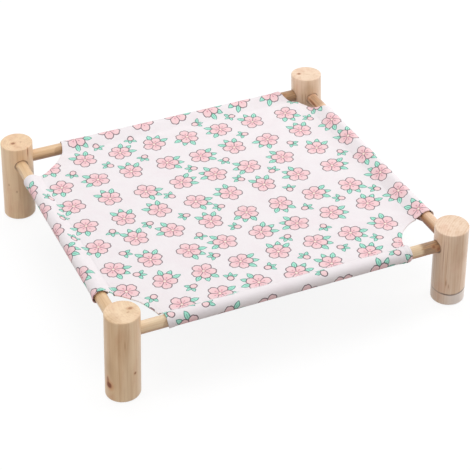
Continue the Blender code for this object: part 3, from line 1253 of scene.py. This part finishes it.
    def sleeve(self, side: Side) -> tuple[np.ndarray, np.ndarray]:
        """One sleeve as a grid: one row to a distance round the rail, one column to a place along it.

        Args:
            side: which side's sleeve it is.

        Returns:
            The points, and their places on the flat cloth.
        """
        axis, other = side.along.value, 1 - side.along.value
        run = self.path()[:, None]
        straight, turned, sewn, edge = self.bends
        widening = np.sin(ease(run, 0, sewn) * math.pi) ** 0.6
        behind = ease(run, turned - 22 * MM, sewn) ** 1.2
        ends = []
        for corner, mouth in zip(side.corners, self.mouths[side]):
            start, reach = self.arc(corner)[axis].max(), (self.cuts[corner].reach[axis] - mouth.slip) * MM
            ends.append(start + (reach - start) * widening + behind * mouth.recess * MM)
        low, high = ends[0] - self.post[axis], self.post[axis] - ends[1]
        along = low + (high - low) * self.spaced(self.rows if axis else self.columns)
        distance, height, out_d, out_z = self.section(run)

        # What stands off the plain round: soft unevenness and the mouths, smoothed out at both seams.
        upper = bell(run, straight + 12 * MM, 14 * MM)
        relief = 0.16 * MM * rough(along, run * 1.5, 30 + 2 * axis + (side.sign > 0), 34 * MM)
        for gap, mouth, phase in zip((along - low, high - along), self.mouths[side], (-2, 2)):
            relief = relief + mouth.relief(gap, run, upper, phase)
        relief = np.clip(relief, -0.02 * MM, None) * ease(run, 0, 3 * MM) * ease(run, sewn, sewn - 3 * MM)
        # What moves it up or down: the lower layer hangs at the mouths, and the rest follows the deck.
        near_end = np.minimum(along - low, high - along)
        hanging = self.spread * ease(near_end, 13 * MM, 0) * ease(run, turned, sewn)
        gathered = self.seam_gathers(side, along) * np.exp(-run / (6 * MM))
        above = side.sign * (self.post[other] - distance)
        sagging = self.deck_height(*((above, along) if axis else (along, above)))

        z = SOCKET_HEIGHT + height + out_z * relief + gathered - hanging + ease(run, sewn, edge) * sagging
        points, flat = np.zeros((*along.shape, 3)), np.zeros((*along.shape, 2))
        points[..., axis], flat[..., axis], points[..., 2] = along, along, z
        points[..., other] = above - side.sign * out_d * relief
        flat[..., other] = side.sign * (self.half[other] + run)
        return points, flat

    def cut_edge(self, corner: Corner) -> tuple[np.ndarray, np.ndarray]:
        """The deck's edge at one corner cut, from left to right.

        Args:
            corner: which corner it is.

        Returns:
            Places along X and Y, and the directions from them into the deck.
        """
        sign_x, sign_y = corner.signs
        row = self.edge_row(Side.BACK if sign_y > 0 else Side.FRONT)
        edge = row[:self.arc_columns + 1] if sign_x < 0 else row[-self.arc_columns - 1:]
        step = np.gradient(edge, axis=0)
        inward = np.stack([-step[:, 1], step[:, 0]], axis=1) * -sign_y
        return edge, inward / np.linalg.norm(inward, axis=1)[:, None]

    def turned_hem(self, corner: Corner) -> tuple[np.ndarray, np.ndarray]:
        """The hem of one corner cut: half a turn round the edge and back under the deck.

        Args:
            corner: which corner's hem it is.

        Returns:
            The points, one column to a place along the cut, and their places on the flat cloth.
        """
        edge, inward = self.cut_edge(corner)
        turn, back = np.radians(np.linspace(0, 180, 7)), np.linspace(0, self.hem, 5)[1:]
        reach = np.concatenate([-self.fold * np.sin(turn), back])[:, None, None]
        drop = self.fold * (1 - np.cos(np.append(turn, np.full(4, math.pi))))
        run = np.concatenate([self.fold * turn, self.fold * math.pi + back])[:, None, None]
        points = self.raised(edge + inward * np.clip(reach, 0, None), -drop[:, None])
        points[..., :2] = edge + inward * reach
        flat = edge - inward * run
        return (points, flat) if corner.signs[1] > 0 else (points[::-1], flat[::-1])

    def build(self) -> bpy.types.Object:
        """Welds the deck, sleeves and hems into one sheet, gives it thickness and dresses it.

        Returns:
            The canvas.
        """
        patches = [self.deck()]
        for side in Side:
            grids = [grid[::-1] if side.sign < 0 else grid for grid in self.sleeve(side)]
            patches.append([grid.swapaxes(0, 1) if side.along is Axis.Y else grid for grid in grids])
        patches += [self.turned_hem(corner) for corner in Corner]
        faces, first, self.flat_area = [], 0, 0.0
        for _, flat in patches:
            faces.append(sheet_faces(*flat.shape[:2], first))
            first += flat[..., 0].size
            one, two = flat[1:, 1:] - flat[:-1, :-1], flat[1:, :-1] - flat[:-1, 1:]
            self.flat_area += float(np.abs(one[..., 0] * two[..., 1] - one[..., 1] * two[..., 0]).sum() / 2)
        points, flat = (np.concatenate([grid.reshape(-1, grid.shape[2]) for grid in grids])
                        for grids in zip(*patches))
        canvas = new_piece("canvas_sling", points, faces, flat, sharp=180)
        canvas.data.materials.append(PrintedCanvas().make())
        canvas.data.materials.append(PlainCloth("canvas_reverse", paint(240, 234, 236)).make())
        wall = canvas.modifiers.new("thickness", "SOLIDIFY")
        wall.thickness, wall.offset, wall.material_offset = self.thickness, 0.0, 1
        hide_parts("canvas_deck", *(f"canvas_sleeve_{side.label}" for side in Side),
                    *(f"corner_hem_{corner.label}" for corner in Corner))
        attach(canvas, "frame")
        return canvas

    def flat_size(self) -> tuple[float, float]:
        """The size of the cloth before it was sewn, from the deck and twice a sleeve's path."""
        return tuple(float(2 * (half + self.bends[-1])) for half in self.half)


@dataclass
class Stitching:
    """The sewing thread: a row of low stitches beside each seam, along each hem and round each mouth.

    Attributes:
        canvas: the canvas that is sewn.
        pitch: from one stitch to the next, in metres.
        length: a stitch's length.
        radius: the thread's radius.
        from_seam: how far beside a seam the stitches are.
        from_hem: how far inside a corner cut's edge they are.
        sunk: how deep they lie in the cloth round a mouth.
    """

    canvas: CanvasSling
    pitch: float = 3.2 * MM
    length: float = 2.5 * MM
    radius: float = 0.30 * MM
    from_seam: float = 1.1 * MM
    from_hem: float = 5.5 * MM
    sunk: float = 0.05 * MM

    def along_line(self, line: np.ndarray, out: np.ndarray) -> tuple[np.ndarray, np.ndarray, np.ndarray]:
        """Spaces stitches evenly along a line of points.

        Args:
            line: the points of the line.
            out: the cloth's outward direction, one for all or one at each.

        Returns:
            Each stitch's middle, its direction and its outward direction.
        """
        run = np.append(0, np.cumsum(np.linalg.norm(np.diff(line, axis=0), axis=1)))
        places = np.arange(self.pitch * 0.6, run[-1] - self.pitch * 0.5, self.pitch)

        def at(values: np.ndarray, where: np.ndarray) -> np.ndarray:
            """The values at those distances along the line."""
            return np.stack([np.interp(where, run, part) for part in values.T], axis=1)

        way = at(line, places + 0.4 * MM) - at(line, places - 0.4 * MM)
        way /= np.linalg.norm(way, axis=1)[:, None]
        up = at(np.broadcast_to(out, line.shape), places)
        up -= way * (up * way).sum(axis=1)[:, None]
        return at(line, places), way, up / np.linalg.norm(up, axis=1)[:, None]

    def lines(self) -> list[tuple[np.ndarray, np.ndarray]]:
        """The sewn lines, taken from the canvas's own surfaces.

        Returns:
            The points of each line, with the cloth's outward direction along it.
        """
        canvas, half, up = self.canvas, self.canvas.thickness / 2, np.array([0.0, 0.0, 1.0])
        run, found = canvas.path(), []
        _, _, out_d, out_z = canvas.section(run[2:-5])
        for side in Side:
            points, _ = canvas.sleeve(side)
            along, across = side.along.value, 1 - side.along.value
            inward = -side.sign * np.eye(3)[across]
            lower = points[np.searchsorted(run, canvas.bends[2] - 1e-9)]
            found.append((canvas.raised((points[0] + inward * self.from_seam)[:, :2], half), up))
            found.append((lower + inward * self.from_seam - up * half, -up))
            out = out_d[:, None] * inward + out_z[:, None] * up
            for mouth, grid in zip(canvas.mouths[side], (points, points[:, ::-1])):
                gap, near = np.abs(grid[..., along] - grid[:, :1, along]), grid[:, :16]
                band = np.stack([[np.interp(mouth.stitches * MM, gap[row, :16], near[row, :, axis])
                                  for axis in range(3)] for row in range(2, len(run) - 5)])
                found.append((band + out * (half - self.sunk), out))
        for corner in Corner:
            edge, inward = canvas.cut_edge(corner)
            found.append((canvas.raised(edge + inward * self.from_hem, half), up))
        return found

    def build(self) -> bpy.types.Object:
        """Lays a small capsule at every stitch and dresses the thread.

        Returns:
            The thread.
        """
        stitch, parts = lathe(np.array([0.45, 1.0, 1.0, 0.45]), np.array([-0.92, -0.45, 0.45, 0.92]), 6)
        stitch[-2:, 2] = -1.0, 1.0
        middles, ways, ups = (np.concatenate(found) for found in
                              zip(*(self.along_line(line, out) for line, out in self.lines())))
        axes = np.stack([np.cross(ups, ways) * self.radius, ups * self.radius * 0.8,
                         ways * self.length / 2], axis=1)
        first = np.arange(len(middles))[:, None, None] * len(stitch)
        faces = [(part + first).reshape(-1, part.shape[1]) for part in parts]
        points = (middles[:, None] + stitch @ axes).reshape(-1, 3)
        thread = new_piece("canvas_stitching", points, faces, sharp=60)
        thread.data.materials.append(PlainCloth("stitching_thread", paint(248, 243, 245), 0.5).make())
        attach(thread, "frame")
        return thread


def put(name: str, data: bpy.types.ID, place: tuple[float, ...], ahead: np.ndarray,
        roll: float = 0.0) -> bpy.types.Object:
    """Puts a camera or a lamp in the scene.

    Args:
        name: its name.
        data: the camera's or the lamp's own data.
        place: where it is, in metres.
        ahead: the direction that it looks in, of length 1.
        roll: how far it is tilted from level, in radians.

    Returns:
        The new object.
    """
    right = np.cross(ahead, [0, 0, 1])
    right /= np.linalg.norm(right)
    down, flat, tilt = np.cross(ahead, right), math.cos(roll), math.sin(roll)
    right, down = flat * right + tilt * down, flat * down - tilt * right
    thing = bpy.data.objects.new(name, data)
    bpy.context.scene.collection.objects.link(thing)
    axes = np.eye(4)
    axes[:3] = np.stack([right, -down, -ahead, place], axis=1)
    thing.matrix_world = Matrix(axes.tolist())
    return thing


@dataclass(frozen=True)
class SoftLamp:
    """One large soft lamp.

    Attributes:
        name: its name.
        place: where it hangs, in metres.
        width: how wide it is.
        power: its power in watts.
    """

    name: str
    place: tuple[float, float, float]
    width: float
    power: float


@dataclass
class Studio:
    """The camera, the pale floor, the white background and the soft lamps.

    Attributes:
        camera_place: where the camera stands, in metres.
        azimuth: which way it looks, in degrees from +Y towards -X.
        elevation: how far it looks down, in degrees.
        roll: how far it is tilted, in degrees.
        lens: its focal length in millimetres, on a sensor 36 mm wide.
        ambient: the strength of the light from all round.
        target: what the lamps are aimed at.
        lamps: the lamps.
    """

    camera_place: tuple[float, float, float] = (-0.66666, -1.58859, 1.23754)
    azimuth: float = -23.21
    elevation: float = 35.04
    roll: float = 0.729
    lens: float = 116.52
    ambient: float = 0.57
    target: tuple[float, float, float] = (0.0, 0.0, 0.07)
    lamps: tuple[SoftLamp, ...] = (
        SoftLamp("lamp_above", (0.15, 0.55, 1.9), 1.5, 10.9),
        SoftLamp("lamp_left", (-1.7, -0.2, 0.85), 1.0, 4.4),
        SoftLamp("lamp_right", (1.75, -0.2, 0.8), 1.0, 11.0),
        SoftLamp("lamp_front", (-0.1, -2.1, 1.3), 1.3, 2.0))

    def build_camera(self) -> None:
        """Makes the camera at the photograph's viewing angle."""
        turn, dip = math.radians(self.azimuth), math.radians(self.elevation)
        ahead = np.array([-math.sin(turn) * math.cos(dip), math.cos(turn) * math.cos(dip), -math.sin(dip)])
        data = bpy.data.cameras.new("camera")
        data.lens, data.sensor_width, data.clip_start, data.clip_end = self.lens, 36.0, 0.05, 50.0
        bpy.context.scene.camera = put("camera", data, self.camera_place, ahead, math.radians(self.roll))

    def build_world(self) -> None:
        """Makes an even world: white where it is seen, dimmer where it lights the object."""
        bench = Bench("studio", world=True)
        lit, seen = (bench.wire("ShaderNodeBackground", None, {"Color": WHITE, "Strength": strength})
                     for strength in (self.ambient, 1.0))
        bpy.context.scene.world = bench.finish(bench.choose(bench.looked_at(), lit, seen))

    def build_floor(self) -> None:
        """Lays a plain pale floor that looks white and keeps a faint shadow."""
        points = np.array([[-4, -4, -0.0002], [4, -4, -0.0002], [4, 4, -0.0002], [-4, 4, -0.0002]])
        floor = new_piece("studio_floor", points, [np.array([[0, 1, 2, 3]])])
        bench = Bench("studio_floor")
        pale = bench.wire("ShaderNodeBsdfDiffuse", None, {"Color": (0.45, 0.415, 0.39)})
        matte = bench.wire("ShaderNodeBsdfDiffuse", None, {"Color": (0.18, 0.18, 0.18)})
        glow = bench.wire("ShaderNodeEmission", None, {"Color": WHITE, "Strength": 0.86})
        white = bench.wire("ShaderNodeAddShader", None, {0: matte, 1: glow})
        floor.data.materials.append(bench.finish(bench.choose(bench.looked_at(), pale, white)))

    def build_lamps(self) -> None:
        """Hangs the soft lamps, each aimed at the deck."""
        for lamp in self.lamps:
            data = bpy.data.lights.new(lamp.name, "AREA")
            data.shape, data.size, data.energy = "DISK", lamp.width, lamp.power
            ahead = np.subtract(self.target, lamp.place)
            put(lamp.name, data, lamp.place, ahead / np.linalg.norm(ahead))

    def build(self) -> None:
        """Sets the studio up."""
        bpy.context.scene.view_settings.view_transform = "Standard"
        self.build_camera()
        self.build_world()
        self.build_floor()
        self.build_lamps()


# Each post: how it leans, how its top is sawn and its wood, whose dark socket rims are painted shade of the
# gaps round the rails.
POSTS = {
    Corner.FRONT_LEFT: ((3.0, 1.5), (1.4, 0.011, 0.033), PineFinish(
        (34, 8), 3.4, 1.3, pale=paint(247, 217, 179), figure=0.30,
        knots_and_shade=marks((11.3, 2.6, 119, 3, 2.4, 7, 0.55, 2.2), (6.4, -3.2, 119, 1.8, 0.9, 5, 0.4, 0.3),
                    (-21, -7.8, 23.6, 6.4, 5, 5.2, 0.95, 2.2), (-21.7, -5.8, 31, 3, 2.6, 5.4, 0.6, 0.6),
                    (8.5, -20.8, 41.3, 1.8, 3, 1.9, 0.6, 0.8), (-4.7, -22, 87, 0.7, 3, 7, 0.28, 0.5)),
        darker_patches=marks((-20, -8, 90, 14, 14, 60, 0.6), (-20, -6, 25, 14, 16, 40, 0.6),
                    (-7, -21.5, 88, 9, 9, 30, 0.32), (-4, -22, 34, 13, 10, 28, 0.2),
                    (9, -1, 119, 8, 7, 9, 0.34)))),
    Corner.FRONT_RIGHT: ((-1.6, -1.5), (-1.8, 0.044, 0.067), PineFinish(
        (50, -66), 3.3, 4.1, pale=paint(245, 217, 191), figure=0.62, foot_ring=18.9,
        socket_shade_rims=((Axis.X, -1, 0.9), (Axis.Y, 1, 0.35)), darker_patches=marks((3, -22, 92, 17, 11, 26, 0.42)),
        knots_and_shade=marks((-14, -17.6, 38, 0.7, 2, 5.5, 0.45, 0.5), (-11.1, -19.6, 33, 0.6, 2, 4, 0.35, 0.3),
                    (-18.1, -13.4, 84, 0.5, 2, 26, 0.32, 0.2), (-14.5, -17.2, 74, 0.4, 2, 30, 0.28, 0.2)))),
    Corner.BACK_RIGHT: ((-1.2, 0.5), (3.0, -0.009, -0.019), PineFinish(
        (26, 62), 3.6, 7.7, pale=paint(248, 220, 192), socket_shade_rims=((Axis.X, -1, 0.6), (Axis.Y, -1, 0.5)),
        darker_patches=marks((-6, -22, 102, 9, 8, 15, 0.36)),
        knots_and_shade=marks((-10, 3.9, 119, 2.6, 2.2, 6, 0.8, 1), (-10.5, -19.6, 92, 1, 3, 9, 0.28, 1),
                    (-14.6, -17, 93, 0.7, 3, 7, 0.18, 0.6)))),
    Corner.BACK_LEFT: ((2.2, -1.2), (-1.0, 0.010, 0.042), PineFinish(
        (4.1, -7.5), 2.9, 9.2, figure=0.32, socket_shade_rims=((Axis.Y, -1, 0.7),),
        knots_and_shade=marks((-5.6, -2, 119, 3.2, 2.7, 6, 0.7, 2.4), (5.4, -2.8, 119, 1.3, 1.1, 4, 0.35, 1.2),
                    (10.2, -20.1, 109.5, 0.8, 2, 8, 0.75, 0.6),
                    (-17.9, -13.6, 58.5, 1.2, 1.5, 1.6, 0.3, 0.4),
                    (-8.8, -20.7, 48.4, 1, 1.5, 1.6, 0.35, 0.4)))),
}
# Every rail is painted darker below, as painted shade on its underside.
RAIL_PINE = PineFinish((9, 26), 2.3, 8.8, pale=paint(243, 210, 166), deep=paint(208, 165, 118),
                       underside_shade=0.9)
RAIL_WOODS = {
    # The stain at -171 is painted shadow of the sleeve's mouth.
    Side.FRONT: replace(
        RAIL_PINE, pith=(12, 20), ring=2.4, seed=2.6, pale=paint(247, 221, 184),
        knots_and_shade=marks((198, -6, 5, 2.6, 2.4, 2.4, 0.55, 0.8), (204, -7, 1, 3, 3, 3.4, 0.55, 0.5),
                    (172, -5.6, -5.8, 18, 3.8, 3.4, 0.5)),
        darker_patches=marks((208, -4, 0, 9, 12, 12, 0.9)),
        stains_and_shade=marks((199, 0, 0, 22, 14, 14, 0.85), (-171, -8, -2, 7, 8, 9, 0.45))),
    # Along its left flank near -170, the long dark marks are painted shade, partly the wood's own brown.
    Side.RIGHT: replace(
        RAIL_PINE, pith=(-18, 9), ring=2.6, seed=5.4, pale=paint(242, 206, 172), deep=paint(204, 154, 112),
        knots_and_shade=marks((-7.6, 178, 3, 1.8, 15, 2.2, 0.7, 0.8), (-8.2, -178, -2, 3, 50, 4.8, 0.5)),
        darker_patches=marks((-1, 174, 4, 12, 16, 12, 0.4), (-8, -165, 0, 6, 50, 8, 0.9),
                    (-9, -160, -4, 5, 50, 6, 0.9)),
        stains_and_shade=marks((-8, -138, -1, 8, 9, 10, 0.5), (-8.5, -176, 0, 5.6, 56, 5.6, 0.8),
                     (-2, 176, 5, 9, 16, 9, 0.35))),
    # The stain at -166 is painted shadow of the sleeve's mouth, and the long thin marks near -190 are
    # painted shade along the lower flank.
    Side.BACK: replace(
        RAIL_PINE, pith=(22, -9), ring=2.8, seed=6.3, pale=paint(234, 196, 150), deep=paint(198, 150, 104),
        knots_and_shade=marks((187, -4, 7, 5, 3, 2, 0.3, 0.6), (-190, -5.2, -6.6, 36, 3.4, 2.4, 0.6)),
        stains_and_shade=marks((200, 0, 0, 20, 14, 14, 0.75), (-166, -8, 1, 9, 7, 9, 0.38),
                     (-187, -8, -3, 24, 4, 5, 0.35))),
    # Its stain is a line of painted shadow along the outer flank, between the sleeve and the post.
    Side.LEFT: replace(RAIL_PINE, stains_and_shade=marks((-8.5, 172, 0, 4, 24, 6, 0.35))),
}


def report(piece: bpy.types.Object) -> bpy.types.Object:
    """Logs a finished piece and passes it on."""
    log.info("%s: %d points", piece.name, len(piece.data.vertices))
    return piece


def build_woodwork() -> None:
    """Builds the four posts and the four rails, each with its own piece of pine."""
    for corner, (lean, crown, wood) in POSTS.items():
        low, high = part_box(f"post_{corner.label}")
        finish = replace(wood, name=f"post_pine_{corner.label}",
                         middle=((low.x + high.x) / 2, (low.y + high.y) / 2, 0.0),
                         slide=tuple(math.tan(math.radians(angle)) for angle in lean))
        report(PinePost(corner, finish, lean, crown).build())
    for side, wood in RAIL_WOODS.items():
        low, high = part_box(f"rail_{side.label}")
        finish = replace(wood, name=f"rail_pine_{side.label}", grain=side.along,
                         middle=tuple((low + high) / 2))
        report(DowelRail(side, finish).build())


def main() -> None:
    """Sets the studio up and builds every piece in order."""
    logging.basicConfig(level=logging.INFO, format="%(message)s")
    Studio().build()
    build_woodwork()
    sling = CanvasSling()
    canvas = report(sling.build())
    thread = report(Stitching(sling).build())
    sling.flat_size()


if __name__ == "__main__":
    main()
